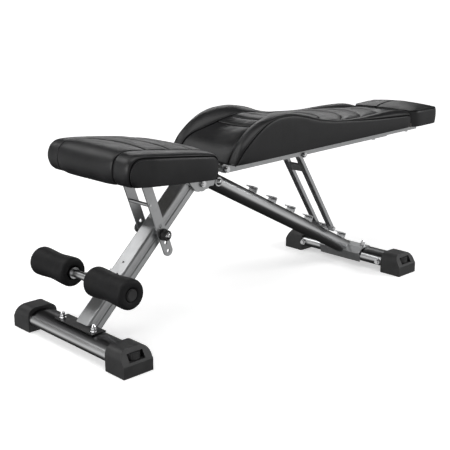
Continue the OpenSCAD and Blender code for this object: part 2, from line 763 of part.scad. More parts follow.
// ---------- parts ----------
front_base_tube();
rear_base_tube();
front_cap_left();
front_cap_right();
rear_cap_left();
rear_cap_right();
front_wheel_left();
front_wheel_right();
rear_wheel_left();
rear_wheel_right();
front_saddle_plate();
rear_saddle_plate();
front_saddle_bolts();
rear_saddle_bolts();
rear_tube_bolts();
front_leg();
leg_collar();
roller_arm();
roller_rod();
roller_left();
roller_right();
roller_plug_left();
roller_plug_right();
main_beam();
beam_plug();
cross_sleeve();
gusset_plates();
ladder_hooks();
hinge_saddle();
hinge_tube();
hinge_bolt();
seat_frame();
seat_board();
seat_cushion();
seat_screws();
seat_pivot_bolt();
strut_bar_left();
strut_bar_right();
strut_spacer();
strut_top_pin();
strut_bushes();
knob_left();
knob_right();
back_rail_left();
back_rail_right();
back_cross_bars();
back_board();
back_cushion();
back_screws();
head_board();
head_pad();
support_leg_left();
support_leg_right();
support_top_rod();
support_foot_pins();
support_brace();
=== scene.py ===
"""Adjustable weight bench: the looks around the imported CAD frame.

Metres, +X towards the head pad, +Z up. Pads are described in millimetres and scaled when they are built.
"""
import json
import math

import bpy
import bmesh
import numpy as np
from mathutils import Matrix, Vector
from mathutils.bvhtree import BVHTree


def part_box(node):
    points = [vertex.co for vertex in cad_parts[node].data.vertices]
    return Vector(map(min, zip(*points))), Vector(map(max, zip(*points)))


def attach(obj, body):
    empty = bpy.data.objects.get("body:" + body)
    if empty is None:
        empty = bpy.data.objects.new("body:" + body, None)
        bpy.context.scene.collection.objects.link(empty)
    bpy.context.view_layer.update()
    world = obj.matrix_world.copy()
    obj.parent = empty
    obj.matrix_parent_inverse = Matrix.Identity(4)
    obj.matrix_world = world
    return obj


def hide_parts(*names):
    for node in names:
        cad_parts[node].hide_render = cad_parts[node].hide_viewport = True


MM = 0.001

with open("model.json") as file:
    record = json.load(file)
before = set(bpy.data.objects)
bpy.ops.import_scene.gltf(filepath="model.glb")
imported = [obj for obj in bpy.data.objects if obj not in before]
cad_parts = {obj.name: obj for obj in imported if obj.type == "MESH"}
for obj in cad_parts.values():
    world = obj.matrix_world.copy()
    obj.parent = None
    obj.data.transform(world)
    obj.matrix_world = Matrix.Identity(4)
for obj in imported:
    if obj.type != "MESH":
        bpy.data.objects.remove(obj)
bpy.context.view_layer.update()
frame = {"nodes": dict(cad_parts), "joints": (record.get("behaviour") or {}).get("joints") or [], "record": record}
joints = {j["name"]: j for j in frame["joints"]}


# ---------------------------------------------------------------- camera and stage
def add_camera():
    """The view over the foot end's right-hand corner, seen from 15 degrees above the floor."""
    data = bpy.data.cameras.new("camera")
    data.sensor_width = 36
    data.lens = 70.84
    camera = bpy.data.objects.new("camera", data)
    camera.location = (-1.74143, -1.65374, 0.83202)
    camera.rotation_euler = (math.radians(74.837), 0, math.radians(-43.998))
    bpy.context.scene.collection.objects.link(camera)
    bpy.context.scene.camera = camera


def area_light(name, place, target, size, power):
    data = bpy.data.lights.new(name, "AREA")
    data.shape = "RECTANGLE"
    data.size, data.size_y = size
    data.energy = power
    light = bpy.data.objects.new(name, data)
    light.location = place
    light.rotation_euler = (Vector(target) - Vector(place)).to_track_quat("-Z", "Y").to_euler()
    bpy.context.scene.collection.objects.link(light)
    return light


def set_world():
    """A soft studio: bright low round the near sides, dark behind the bench and straight below."""
    world = bpy.data.worlds.new("studio")
    world.use_nodes = True
    bpy.context.scene.world = world
    tree = world.node_tree
    coords = tree.nodes.new("ShaderNodeTexCoord")
    split = tree.nodes.new("ShaderNodeSeparateXYZ")
    ramp = tree.nodes.new("ShaderNodeValToRGB")
    tree.links.new(coords.outputs["Generated"], split.inputs[0])
    lift = tree.nodes.new("ShaderNodeMapRange")
    lift.inputs["From Min"].default_value = -1
    tree.links.new(split.outputs["Z"], lift.inputs["Value"])
    tree.links.new(lift.outputs["Result"], ramp.inputs["Fac"])
    # sine of the elevation, brightness
    stops = [(-1.0, 0.02), (-0.60, 0.03), (-0.46, 0.12), (-0.34, 0.62), (-0.12, 0.78), (0.04, 0.60),
             (0.18, 0.30), (0.40, 0.16), (0.75, 0.18), (1.0, 0.4)]
    ramp.color_ramp.elements[0].position = 0
    ramp.color_ramp.elements[1].position = 1
    for sine, _ in stops[1:-1]:
        ramp.color_ramp.elements.new((sine + 1)/2)
    for element, (_, grey) in zip(ramp.color_ramp.elements, stops):
        element.color = (grey, grey, grey, 1)
    toward = tree.nodes.new("ShaderNodeVectorMath")
    toward.operation = "DOT_PRODUCT"
    toward.inputs[1].default_value = (-0.72, -0.69, 0)
    tree.links.new(coords.outputs["Generated"], toward.inputs[0])
    side = tree.nodes.new("ShaderNodeMapRange")
    side.inputs["From Min"].default_value = -0.95
    side.inputs["From Max"].default_value = -0.05
    side.inputs["To Min"].default_value = 0.2
    side.inputs["To Max"].default_value = 1.0
    tree.links.new(toward.outputs["Value"], side.inputs["Value"])
    dim = tree.nodes.new("ShaderNodeMix")
    dim.data_type = "RGBA"
    dim.blend_type = "MULTIPLY"
    dim.inputs["Factor"].default_value = 1
    tree.links.new(ramp.outputs["Color"], dim.inputs["A"])
    tree.links.new(side.outputs["Result"], dim.inputs["B"])
    tree.links.new(dim.outputs["Result"], tree.nodes["Background"].inputs["Color"])
    tree.nodes["Background"].inputs["Strength"].default_value = 1.0


def whiten_far_floor(tree, shader):
    """Lets the floor glow more with distance, where the lamps no longer reach it."""
    coords = tree.nodes.new("ShaderNodeTexCoord")
    distance = tree.nodes.new("ShaderNodeVectorMath")
    distance.operation = "LENGTH"
    tree.links.new(coords.outputs["Object"], distance.inputs[0])
    glow = tree.nodes.new("ShaderNodeMapRange")
    glow.inputs["From Min"].default_value = 0.9
    glow.inputs["From Max"].default_value = 3.6
    glow.inputs["To Min"].default_value = 0.46
    glow.inputs["To Max"].default_value = 0.97
    tree.links.new(distance.outputs["Value"], glow.inputs["Value"])
    tree.links.new(glow.outputs["Result"], shader.inputs["Emission Strength"])


def add_stage():
    bpy.ops.mesh.primitive_plane_add(size=160, location=(0, 0, -0.0005))
    floor = bpy.context.object
    floor.name = "floor"
    material = bpy.data.materials.new("floor")
    material.use_nodes = True
    shader = material.node_tree.nodes["Principled BSDF"]
    shader.inputs["Base Color"].default_value = (0.9, 0.9, 0.9, 1)
    shader.inputs["Roughness"].default_value = 0.9
    shader.inputs["Specular IOR Level"].default_value = 0.1
    shader.inputs["Emission Color"].default_value = (1, 1, 1, 1)
    whiten_far_floor(material.node_tree, shader)
    floor.data.materials.append(material)
    floor.visible_glossy = False
    set_world()
    area_light("overhead", (-0.4, -0.4, 2.4), (0, 0, 0.3), (2.4, 1.4), 26)
    area_light("left_key", (-1.2, 1.7, 2.0), (-0.3, 0, 0.2), (1.6, 1.0), 14)
    area_light("front_fill", (-2.4, 0.3, 0.9), (-0.1, 0, 0.2), (1.2, 0.9), 17)
    area_light("right_key", (1.5, -1.6, 1.25), (0, 0, 0.2), (1.4, 0.6), 20)
    area_light("back_rim", (1.7, 1.9, 1.35), (0.1, 0, 0.4), (2.0, 0.5), 9)
    bpy.context.scene.view_settings.view_transform = "Standard"


# ---------------------------------------------------------------- materials
class Shader:
    """A material with one Principled shader, and short calls that add pattern nodes to it."""

    def __init__(self, name, color, roughness, metallic=0.0):
        self.material = bpy.data.materials.new(name)
        self.material.use_nodes = True
        self.tree = self.material.node_tree
        self.main = self.tree.nodes["Principled BSDF"]
        self.main.inputs["Base Color"].default_value = (*color, 1)
        self.main.inputs["Roughness"].default_value = roughness
        self.main.inputs["Metallic"].default_value = metallic
        self.place = self.tree.nodes.new("ShaderNodeTexCoord").outputs["Object"]
        self.normal = None

    def constant(self, socket, value):
        self.main.inputs[socket].default_value = value

    def noise(self, scale, detail=3.0, rough=0.5, stretch=None):
        place = self.place
        if stretch:
            mapping = self.tree.nodes.new("ShaderNodeMapping")
            mapping.inputs["Scale"].default_value = stretch
            self.tree.links.new(place, mapping.inputs["Vector"])
            place = mapping.outputs["Vector"]
        node = self.tree.nodes.new("ShaderNodeTexNoise")
        node.inputs["Scale"].default_value = scale
        node.inputs["Detail"].default_value = detail
        node.inputs["Roughness"].default_value = rough
        self.tree.links.new(place, node.inputs["Vector"])
        return node.outputs["Fac"]

    def voronoi(self, scale, feature="F1"):
        node = self.tree.nodes.new("ShaderNodeTexVoronoi")
        node.feature = feature
        node.inputs["Scale"].default_value = scale
        self.tree.links.new(self.place, node.inputs["Vector"])
        return node.outputs["Distance"]

    def spread(self, value, low, high, start=0.3, end=0.7):
        """value, taken from start to end, becomes low to high."""
        node = self.tree.nodes.new("ShaderNodeMapRange")
        node.inputs["From Min"].default_value = start
        node.inputs["From Max"].default_value = end
        node.inputs["To Min"].default_value = low
        node.inputs["To Max"].default_value = high
        self.tree.links.new(value, node.inputs["Value"])
        return node.outputs["Result"]

    def mixed(self, value, first, second):
        """A colour mix steered by value. A first colour of None is linked by the caller."""
        node = self.tree.nodes.new("ShaderNodeMix")
        node.data_type = "RGBA"
        if first:
            node.inputs["A"].default_value = (*first, 1)
        node.inputs["B"].default_value = (*second, 1)
        self.tree.links.new(value, node.inputs["Factor"])
        return node

    def colors(self, value, first, second):
        mix = self.mixed(value, first, second)
        self.tree.links.new(mix.outputs["Result"], self.main.inputs["Base Color"])

    def rough(self, value, low, high):
        self.tree.links.new(self.spread(value, low, high), self.main.inputs["Roughness"])

    def bump(self, value, depth, strength=1.0):
        node = self.tree.nodes.new("ShaderNodeBump")
        node.inputs["Strength"].default_value = strength
        node.inputs["Distance"].default_value = depth
        self.tree.links.new(value, node.inputs["Height"])
        if self.normal:
            self.tree.links.new(self.normal, node.inputs["Normal"])
        self.normal = node.outputs["Normal"]
        self.tree.links.new(self.normal, self.main.inputs["Normal"])


def leather():
    """Black synthetic leather: a pebble grain about 1 mm across, soft gloss patches, and painted shade along the
    seams, which are coloured near-black and given little gloss.
    """
    s = Shader("leather", (0.009, 0.009, 0.0095), 0.4)
    patches = s.noise(22, 3)
    seam = s.tree.nodes.new("ShaderNodeAttribute")
    seam.attribute_name = "seam"
    seam = seam.outputs["Fac"]
    skin = s.mixed(s.spread(patches, 0, 1), (0.0075, 0.0075, 0.008), (0.0115, 0.0115, 0.0122))
    # painted shade: near the seams the colour is mixed to near-black and the gloss below is turned down, standing
    # for the shade in the seam grooves
    dark = s.mixed(seam, None, (0.002, 0.002, 0.002))
    s.tree.links.new(skin.outputs["Result"], dark.inputs["A"])
    s.tree.links.new(dark.outputs["Result"], s.main.inputs["Base Color"])
    s.tree.links.new(s.spread(seam, 0.31, 0.02, 0.1, 0.8), s.main.inputs["Specular IOR Level"])
    s.rough(patches, 0.35, 0.44)
    s.bump(s.voronoi(950, "DISTANCE_TO_EDGE"), 0.25 * MM, 0.35)
    s.bump(s.noise(2200, 2), 0.12 * MM, 0.25)
    s.bump(s.noise(38, 3), 1.5 * MM, 0.10)
    return s.material


def thread():
    s = Shader("thread", (0.035, 0.035, 0.037), 0.6)
    s.colors(s.spread(s.noise(1500, 2), 0, 1), (0.025, 0.025, 0.027), (0.055, 0.055, 0.058))
    s.bump(s.noise(3000, 1), 0.1 * MM, 0.5)
    return s.material


def dust_cloth():
    """The thin black cloth stapled under a pad."""
    s = Shader("dust_cloth", (0.02, 0.02, 0.021), 0.9)
    fibres = s.noise(900, 4, 0.7)
    s.colors(s.spread(fibres, 0, 1), (0.012, 0.012, 0.013), (0.035, 0.035, 0.036))
    s.bump(fibres, 0.2 * MM, 0.6)
    return s.material


def metallic_paint(name, dark, light, low, high, coat=0.2):
    """Satin metallic paint with soft dull patches."""
    s = Shader(name, dark, low, 0.9)
    s.colors(s.spread(s.noise(60, 2, 0.5), 0, 1), dark, light)
    s.rough(s.noise(14, 4, 0.6), low, high)
    s.constant("Coat Weight", coat)
    s.constant("Coat Roughness", 0.22)
    return s.material


def black_paint():
    s = Shader("black_paint", (0.008, 0.008, 0.0085), 0.35)
    s.colors(s.spread(s.noise(60, 4), 0, 1), (0.006, 0.006, 0.0065), (0.011, 0.011, 0.0115))
    s.constant("Specular IOR Level", 0.25)
    s.rough(s.noise(25, 4), 0.28, 0.45)
    s.bump(s.noise(500, 2), 0.05 * MM, 0.3)
    return s.material


def steel(name, dark, light, low, high, painted_dark_top=False):
    """Satin bright steel with faint clouding. One with a dark top has its upward-facing faces painted near-black,
    a painted reflection of dark surroundings above.
    """
    s = Shader(name, dark, low, 1.0)
    clouds = s.noise(7, 2, 0.4)
    skin = s.mixed(s.spread(clouds, 0, 1), dark, light)
    s.rough(clouds, low, high)
    if painted_dark_top:
        # painted reflection: faces whose normal points upward are mixed towards near-black, as if they mirrored a
        # dark space above
        facing = s.tree.nodes.new("ShaderNodeSeparateXYZ")
        s.tree.links.new(s.tree.nodes.new("ShaderNodeNewGeometry").outputs["Normal"], facing.inputs[0])
        top_shade_mix = s.mixed(s.spread(facing.outputs["Z"], 0, 0.93, 0.60, 0.85), None, (0.02, 0.02, 0.021))
        s.tree.links.new(skin.outputs["Result"], top_shade_mix.inputs["A"])
        skin = top_shade_mix
    s.tree.links.new(skin.outputs["Result"], s.main.inputs["Base Color"])
    return s.material


def moulded(name, dark, light, low, high, grain=900):
    """Moulded black plastic with a fine spark-eroded texture."""
    s = Shader(name, dark, low)
    s.colors(s.spread(s.noise(35, 4), 0, 1), dark, light)
    s.rough(s.noise(30, 3), low, high)
    s.bump(s.noise(grain, 3, 0.6), 0.12 * MM, 0.45)
    return s.material


def foam():
    """Closed-cell foam sleeve: small open pores over a matte skin."""
    s = Shader("foam", (0.009, 0.009, 0.0095), 0.6)
    s.colors(s.spread(s.noise(300, 5), 0, 1), (0.0055, 0.0055, 0.006), (0.0085, 0.0085, 0.009))
    s.constant("Specular IOR Level", 0.2)
    s.rough(s.noise(60, 3), 0.50, 0.60)
    s.bump(s.voronoi(1100), 0.12 * MM, 0.3)
    s.bump(s.noise(2400, 2), 0.06 * MM, 0.3)
    return s.material


def plywood():
    s = Shader("plywood", (0.05, 0.045, 0.04), 0.75)
    grain = s.noise(9, 6, 0.65, (1, 14, 30))
    s.colors(s.spread(grain, 0, 1), (0.03, 0.027, 0.024), (0.075, 0.066, 0.056))
    s.bump(grain, 0.2 * MM, 0.4)
    return s.material


finishes = {
    "leather": leather(),
    "grey_paint": metallic_paint("grey_paint", (0.41, 0.415, 0.42), (0.45, 0.455, 0.46), 0.32, 0.38),
    # bright steel gets its upper faces painted dark, a painted reflection of a dark space above
    "bright_steel": steel("bright_steel", (0.62, 0.625, 0.63), (0.68, 0.685, 0.69), 0.27, 0.31, painted_dark_top=True),
    "zinc": steel("zinc", (0.62, 0.62, 0.63), (0.78, 0.78, 0.79), 0.14, 0.24),
    "black_paint": black_paint(),
    "black_plastic": moulded("black_plastic", (0.012, 0.012, 0.0125), (0.020, 0.020, 0.0205), 0.44, 0.54),
    "wheel_plastic": moulded("wheel_plastic", (0.018, 0.018, 0.0185), (0.028, 0.028, 0.0285), 0.26, 0.34,
                             600),
    "foam": foam(),
    "plywood": plywood(),
}
threads = thread()
cloth = dust_cloth()


def finish_frame():
    """Gives every CAD node its slot's material."""
    for part in frame["record"]["subparts"]:
        node = frame["nodes"][part["node"]]
        node.data.materials.clear()
        node.data.materials.append(finishes[part["material_slot"]])


# ---------------------------------------------------------------- upholstery
def through(points, at):
    """A smooth curve through rows of points (Catmull-Rom), read at station numbers."""
    points = np.asarray(points, float)
    at = np.clip(np.asarray(at, float), 0, len(points) - 1)
    return weights(at, len(points)) @ points


def weights(at, count):
    """Catmull-Rom weights of each of count stations, for each place in at."""
    first = np.clip(np.floor(at).astype(int), 0, count - 2)
    t = at - first
    parts = (-t + 2*t**2 - t**3, 2 - 5*t**2 + 3*t**3, t + 4*t**2 - 3*t**3, -t**2 + t**3)
    table = np.zeros((len(at), count))
    for offset, part in zip((-1, 0, 1, 2), parts):
        np.add.at(table, (np.arange(len(at)), np.clip(first + offset, 0, count - 1)), part/2)
    return table


SEAM_REACH = 1.7                     # half width of a seam's shade, in millimetres
CLOTH_FRAMES = 20                    # length of the cloth simulation
FLANK_STITCH = 5.5                   # from a side seam to its row of stitches, in millimetres
INNER_STITCH = 4                     # from an inner seam to its row of stitches
HEAD_SPAN = (728, 858.5)             # where the head pad lies, along the backrest
HEAD_DROP = 6.5                      # how far the head pad's board lies below the backrest's


class Pad:
    """A padded cover, as a grid: rows run along the pad, columns across it.

    lines holds five long lines, each a list of (along, across, up) points in millimetres, one for each
    station: the middle, the inner seam, the crest, the side seam and the lower edge. A column's place is
    0 at the middle, 1 at the inner seam, 2 at the side seam, 3 at the lower edge and 4 at the hem's end.
    """

    STEP = 4.5                       # usual distance between rows, in millimetres
    NEAR = (0.5, 1.0, 1.7, 3.0)      # extra rows on each side of a cross seam

    def __init__(self, lines, cross_seams, long_seams, bulge=2.0, hem=14.0):
        self.lines = [np.asarray(line, float) for line in lines]
        self.long_seams = long_seams
        self.bulge, self.hem = bulge, hem
        self.stations = len(self.lines[0])
        fine = np.linspace(0, self.stations - 1, 4000)
        path = through(self.lines[1], fine)
        run = np.concatenate([[0], np.cumsum(np.linalg.norm(np.diff(path, axis=0), axis=1))])
        self.length = run[-1]
        self.station_at = lambda distance: np.interp(distance, run, fine)
        self.distance_at = lambda station: np.interp(station, fine, run)
        self.seams = [float(self.distance_at(s)) for s in cross_seams]

    def row_distances(self, step):
        rows = list(np.linspace(0, self.length, int(self.length/step) + 1))
        for seam in self.seams:
            rows = [r for r in rows if abs(r - seam) > self.NEAR[-1] + 0.35*step]
            rows += [seam] + [seam + side*d for d in self.NEAR for side in (-1, 1)]
        return np.array(sorted(rows))

    @staticmethod
    def column_places(cells):
        """Column places from 0 to 4, closer together beside the seams."""
        half = [math.sin(math.pi/2*i/cells[0]) for i in range(cells[0])]
        strip = [1 + (1 - math.cos(math.pi*i/cells[1]))/2 for i in range(cells[1])]
        side = [2 + (1 - math.cos(math.pi*i/cells[2]))/2 for i in range(cells[2])]
        hem = [3 + i/cells[3] for i in range(cells[3] + 1)]
        places = np.array(half + strip + side + hem)
        return np.concatenate([-places[:0:-1], places])

    def grid(self, distances, columns):
        """Points of the smooth cover, (rows, columns, 3), in millimetres."""
        at = self.station_at(distances)
        middle, inner, crest, outer, lower = [through(line, at) for line in self.lines]
        out = np.zeros((len(at), len(columns), 3))
        for k, place in enumerate(columns):
            c = abs(place)
            if c <= 1:
                p = middle + (inner - middle)*c**2
                p[:, 1] = inner[:, 1]*c
            elif c <= 1.5:
                turn = math.pi*(c - 1)
                p = inner + (crest - inner)*math.sin(turn)
                outward = 0.35*math.sin(turn) + 0.65*(1 - math.cos(turn))
                p[:, 1] = inner[:, 1] + (crest - inner)[:, 1]*outward
            elif c <= 2:
                turn = math.pi*(c - 1.5)
                p = outer + (crest - outer)*math.cos(turn)
                p[:, 1] = crest[:, 1] + (outer - crest)[:, 1]*math.sin(turn)
            elif c <= 3:
                v = c - 2
                p = outer + (lower - outer)*v
                p[:, 1] += self.bulge*math.sin(math.pi*v)
            else:
                p = lower.copy()
                p[:, 1] -= self.hem*(c - 3)
            p[:, 1] *= 1 if place >= 0 else -1
            out[:, k] = p
        return out

    def dented(self, distances, columns, puff, deep=2.6, wide=1.5, panel=3.4):
        """The grid with its seams drawn in and its panels swollen, and how close each point is to a seam."""
        grid = self.grid(distances, columns)
        grid = grid + puff
        normal = grid_normals(grid)
        run = across(grid)
        push = np.zeros(grid.shape[:2])
        close = np.zeros(grid.shape[:2])
        for place in self.long_seams:
            for side in (-1, 1):
                k = int(np.argmin(np.abs(columns - side*place)))
                away = np.abs(run - run[:, k:k + 1])
                push -= deep*np.exp(-(away/wide)**2)
                close = np.maximum(close, np.exp(-(away/SEAM_REACH)**2))
        inside = np.clip((1 - np.abs(columns))/0.03, 0, 1)
        for seam in self.seams:
            away = np.abs(distances - seam)[:, None]
            push -= deep*np.exp(-(away/wide)**2)*inside[None, :]
            close = np.maximum(close, np.exp(-(away/SEAM_REACH)**2)*inside[None, :])
        ends = [0, *self.seams, self.length]
        cell = np.zeros(len(distances))
        for a, b in zip(ends[:-1], ends[1:]):
            t = np.clip((distances - a)/(b - a), 0, 1)
            here = (distances >= a) & (distances <= b)
            first, last = a == 0, b == self.length
            rise = np.ones_like(t) if first else 1 - (1 - np.minimum(t*3, 1))**2
            fall = np.ones_like(t) if last else 1 - (1 - np.minimum((1 - t)*3, 1))**2
            cell[here] = (rise*fall)[here]
        crown = np.clip(1 - np.abs(columns)**6, 0, 1)
        push += panel*cell[:, None]*crown[None, :]
        return grid + normal*push[..., None], close


def across(grid):
    """Distance along each row of a grid, from its first column."""
    step = np.linalg.norm(np.diff(grid, axis=1), axis=2)
    return np.concatenate([np.zeros((len(grid), 1)), np.cumsum(step, axis=1)], axis=1)


def grid_faces(rows, count):
    """Four-sided faces between neighbouring rows of count points."""
    return [(i*count + k, (i + 1)*count + k, (i + 1)*count + k + 1, i*count + k + 1)
            for i in range(rows - 1) for k in range(count - 1)]


def grid_normals(grid):
    """Outward unit normals of a grid whose columns run from right to left."""
    along = np.gradient(grid, axis=0)
    across = np.gradient(grid, axis=1)
    normal = np.cross(along, across)
    length = np.linalg.norm(normal, axis=2, keepdims=True)
    return normal/np.maximum(length, 1e-9)


def swell(pad, pressure=3.0, cap=5.0, step=9.0, cells=(9, 5, 5, 1)):
    """Runs Cloth under pressure on a coarse copy of the cover, held along its seams and lower edge.

    Returns the coarse rows, the coarse columns and how far each point moved, in millimetres."""
    distances = np.unique(np.concatenate([np.linspace(0, pad.length, int(pad.length/step) + 1), pad.seams]))
    columns = pad.column_places(cells)
    grid = pad.grid(distances, columns)
    moved = np.zeros_like(grid)
    rows, count = grid.shape[:2]
    mesh = bpy.data.meshes.new("swell")
    mesh.from_pydata((grid*MM).reshape(-1, 3).tolist(), [], grid_faces(rows, count))
    body = bpy.data.objects.new("swell", mesh)
    bpy.context.scene.collection.objects.link(body)
    held = np.zeros((rows, count), bool)
    held[[0, -1]] = True
    for place in (*pad.long_seams, 3, 4):
        held[:, np.abs(np.abs(columns) - place) < 1e-6] = True
    for seam in pad.seams:
        row = int(np.argmin(np.abs(distances - seam)))
        held[row, np.abs(columns) <= 1] = True
    group = body.vertex_groups.new(name="held")
    group.add([int(i) for i in np.flatnonzero(held.ravel())], 1.0, "REPLACE")
    cloth_modifier = body.modifiers.new("Cloth", "CLOTH")
    settings = cloth_modifier.settings
    settings.quality = 6
    settings.mass = 0.4
    settings.tension_stiffness = 18
    settings.compression_stiffness = 18
    settings.shear_stiffness = 6
    settings.bending_stiffness = 0.8
    settings.use_pressure = True
    settings.uniform_pressure_force = pressure
    settings.vertex_group_mass = "held"
    settings.effector_weights.gravity = 0
    scene = bpy.context.scene
    for number in range(1, CLOTH_FRAMES + 1):
        scene.frame_set(number)
    shaped = body.evaluated_get(bpy.context.evaluated_depsgraph_get()).to_mesh()
    places = np.zeros(rows*count*3)
    shaped.vertices.foreach_get("co", places)
    moved = places.reshape(rows, count, 3)/MM - grid
    far = np.linalg.norm(moved, axis=2, keepdims=True)
    moved *= np.minimum(1, cap/np.maximum(far, 1e-9))
    scene.frame_set(1)
    bpy.data.objects.remove(body)
    bpy.data.meshes.remove(mesh)
    return distances, columns, moved


def spread_over(coarse_rows, coarse_columns, moved, rows, columns):
    """The coarse cover's movement, read smoothly at the fine rows and columns."""
    row_at = np.interp(rows, coarse_rows, np.arange(len(coarse_rows)))
    column_at = np.interp(columns, coarse_columns, np.arange(len(coarse_columns)))
    down = weights(row_at, len(coarse_rows))
    side = weights(column_at, len(coarse_columns))
    return np.einsum("ri,ijk,cj->rck", down, moved, side)


def make_cover(name, pad, origin, tilt, cells=(18, 12, 12, 3), **shape):
    """Builds the closed cover of a pad. origin is in metres, and tilt turns it about Y."""
    rows = pad.row_distances(pad.STEP)
    columns = pad.column_places(cells)
    puff = spread_over(*swell(pad), rows, columns)
    grid, close = pad.dented(rows, columns, puff, **shape)
    grid = grid*MM
    turn = np.array([[math.cos(tilt), 0, -math.sin(tilt)], [0, 1, 0], [math.sin(tilt), 0, math.cos(tilt)]])
    grid = grid @ turn.T + np.array(origin)
    mesh = bpy.data.meshes.new(name)
    mesh.from_pydata(grid.reshape(-1, 3).tolist(), [], grid_faces(len(rows), len(columns)))
    body = bpy.data.objects.new(name, mesh)
    bpy.context.scene.collection.objects.link(body)
    # the seam closeness is stored for the leather, which uses it to paint shade along the seams
    shade = mesh.attributes.new("seam", "FLOAT", "POINT")
    shade.data.foreach_set("value", close.ravel())
    mesh.materials.append(finishes["leather"])
    mesh.materials.append(cloth)
    close_underside(mesh)
    for face in mesh.polygons:
        face.use_smooth = True
    return body, grid, rows, columns


def close_underside(mesh):
    work = bmesh.new()
    work.from_mesh(mesh)
    bmesh.ops.remove_doubles(work, verts=work.verts, dist=0.02*MM)
    bmesh.ops.dissolve_degenerate(work, edges=work.edges, dist=0.01*MM)
    rim = [e for e in work.edges if e.is_boundary]
    made = bmesh.ops.triangle_fill(work, use_beauty=True, use_dissolve=False, edges=rim)
    for item in made["geom"]:
        if isinstance(item, bmesh.types.BMFace):
            item.material_index = 1
    bmesh.ops.recalc_face_normals(work, faces=work.faces)
    work.to_mesh(mesh)
    work.free()


def back_pad():
    """The backrest: a lumbar hump with rolled sides, and channels that curve towards the head."""
    middle = [(-38, 0), (-33, 9), (-24, 21), (-10, 36), (10, 46), (35, 56), (65, 66), (85, 73), (100, 77),
              (130, 85), (165, 89), (200, 86), (250, 76), (300, 69), (350, 65.5), (400, 62), (478, 57),
              (560, 51.5), (655, 44.5), (700, 41), (711, 35), (717, 24), (719, 0)]
    along = [p[0] for p in middle]
    height = [p[1] for p in middle]
    # along, sweep of the middle, inner seam (across, up), crest up, side seam (across, up)
    stations = [
        (-38, 0, 96, 0, 0, 124, 0), (-33, 0, 95, 8, 10, 126, 5), (-24, 0, 94, 21, 25, 127.5, 17),
        (-10, 0, 92, 38, 46, 129, 33), (10, 0, 86, 52, 63, 130, 50), (35, 0, 77, 60, 80.5, 130, 68.5),
        (65, 0, 70, 69.5, 94, 130, 86.5), (83, 0, 66, 76, 99, 130, 94),
        (105, 0, 61, 82, 103.5, 130, 100.5), (125, 0, 57, 87, 106.5, 130, 103),
        (150, 1, 54, 90.5, 108, 130, 103), (172, 3, 53, 91, 107.5, 130, 101.5),
        (200, 10, 56, 87, 102.5, 130, 96.5), (232, 32, 63, 79.5, 95, 130, 88.5),
        (268, 60, 77, 72, 83, 130, 79), (305, 86, 93, 68, 73.5, 130, 71.5),
        (345, 96, 108, 65, 66, 130, 65), (381, 97, 114, 62.5, 62.5, 130, 61),
        (430, 90, 111, 58.5, 58.5, 130, 56.5), (482, 78, 104, 55.5, 56.5, 130, 51),
        (540, 67, 94, 52, 57.5, 130, 46.5), (598, 57, 83, 48.5, 58, 130, 42.5),
        (650, 36, 73, 45, 56.5, 130, 39.5), (690, 14, 66, 42, 51, 129, 37),
        (708, 3, 64, 38, 43, 123, 31.5), (717, 0, 63, 26, 28, 116, 20), (719, 0, 63, 0, 0, 113, 0)]
    lines = [[], [], [], [], []]
    for u, sweep, inner, inner_up, crest_up, outer, outer_up in stations:
        lines[0].append((u + sweep, 0, np.interp(u + sweep, along, height)))
        lines[1].append((u, inner, inner_up))
        lines[2].append((u, inner + 0.6*(outer - inner), crest_up))
        lines[3].append((u, outer, outer_up))
        lines[4].append((u, outer - 3, 0))
    return Pad(lines, cross_seams=(7, 9, 11, 13, 15, 17, 19, 21), long_seams=(1, 2))


def seat_pad():
    """The seat: a rounded nose, a main panel over the top and a strip round each side."""
    middle = [(8, 0), (-5, 10), (-12, 33), (-8, 56), (6, 70.5), (24, 75.5), (60, 76.5), (80, 76.3),
              (110, 75.5), (147, 74), (180, 72), (212, 70), (238, 67), (251, 60), (255, 46), (256, 0)]
    sweep = [0, 0, 0, 0, 0, 0, 8, 12, 12, 12, 11, 9, 3, 0, 0, 0]
    inner = [(7, 104, 0), (-6, 106, 11), (-11.5, 107, 33), (-7.5, 107, 56), (6, 107, 69.5), (23, 107.5, 74),
             (60, 109, 74.5), (80, 110, 74), (110, 112, 73), (147, 115, 71.5), (180, 118, 70), (212, 121, 68),
             (238, 125, 65.5), (250, 126, 58), (255, 126, 45), (256, 126, 0)]
    crest = [(8, 136, 0), (-4, 139, 11), (-9.5, 141, 33), (-5, 142, 55), (8, 143, 67.5), (24, 144, 72.5),
             (60, 147, 73.5), (80, 148, 73), (110, 149, 72), (147, 151, 70.5), (180, 152, 69), (212, 153, 67),
             (238, 154, 64), (250, 154, 57), (255, 153, 44), (256, 152, 0)]
    outer = [(13, 152, 0), (2, 156, 12), (-3, 159, 32), (2, 160, 50), (12, 161, 60), (28, 163, 65),
             (60, 168, 65.5), (80, 169, 65), (110, 170, 64), (147, 170, 62.5), (180, 170, 61), (212, 170, 59),
             (238, 169, 57), (251, 167, 50), (256, 165, 40), (256, 164, 0)]
    lower = [(14, 152, 0), (14.5, 155, 0), (16, 157, 0), (19, 159, 0), (23, 160, 0), (32, 162, 0),
             (60, 166, 0), (80, 167, 0), (110, 168, 0), (147, 168, 0), (180, 168, 0), (212, 168, 0),
             (238, 167, 0), (249, 165, 0), (254, 163, 0), (256, 162, 0)]
    middle = [(u + extra, 0, up) for (u, up), extra in zip(middle, sweep)]
    return Pad([middle, inner, crest, outer, lower], cross_seams=(7, 9, 11), long_seams=(1, 2))


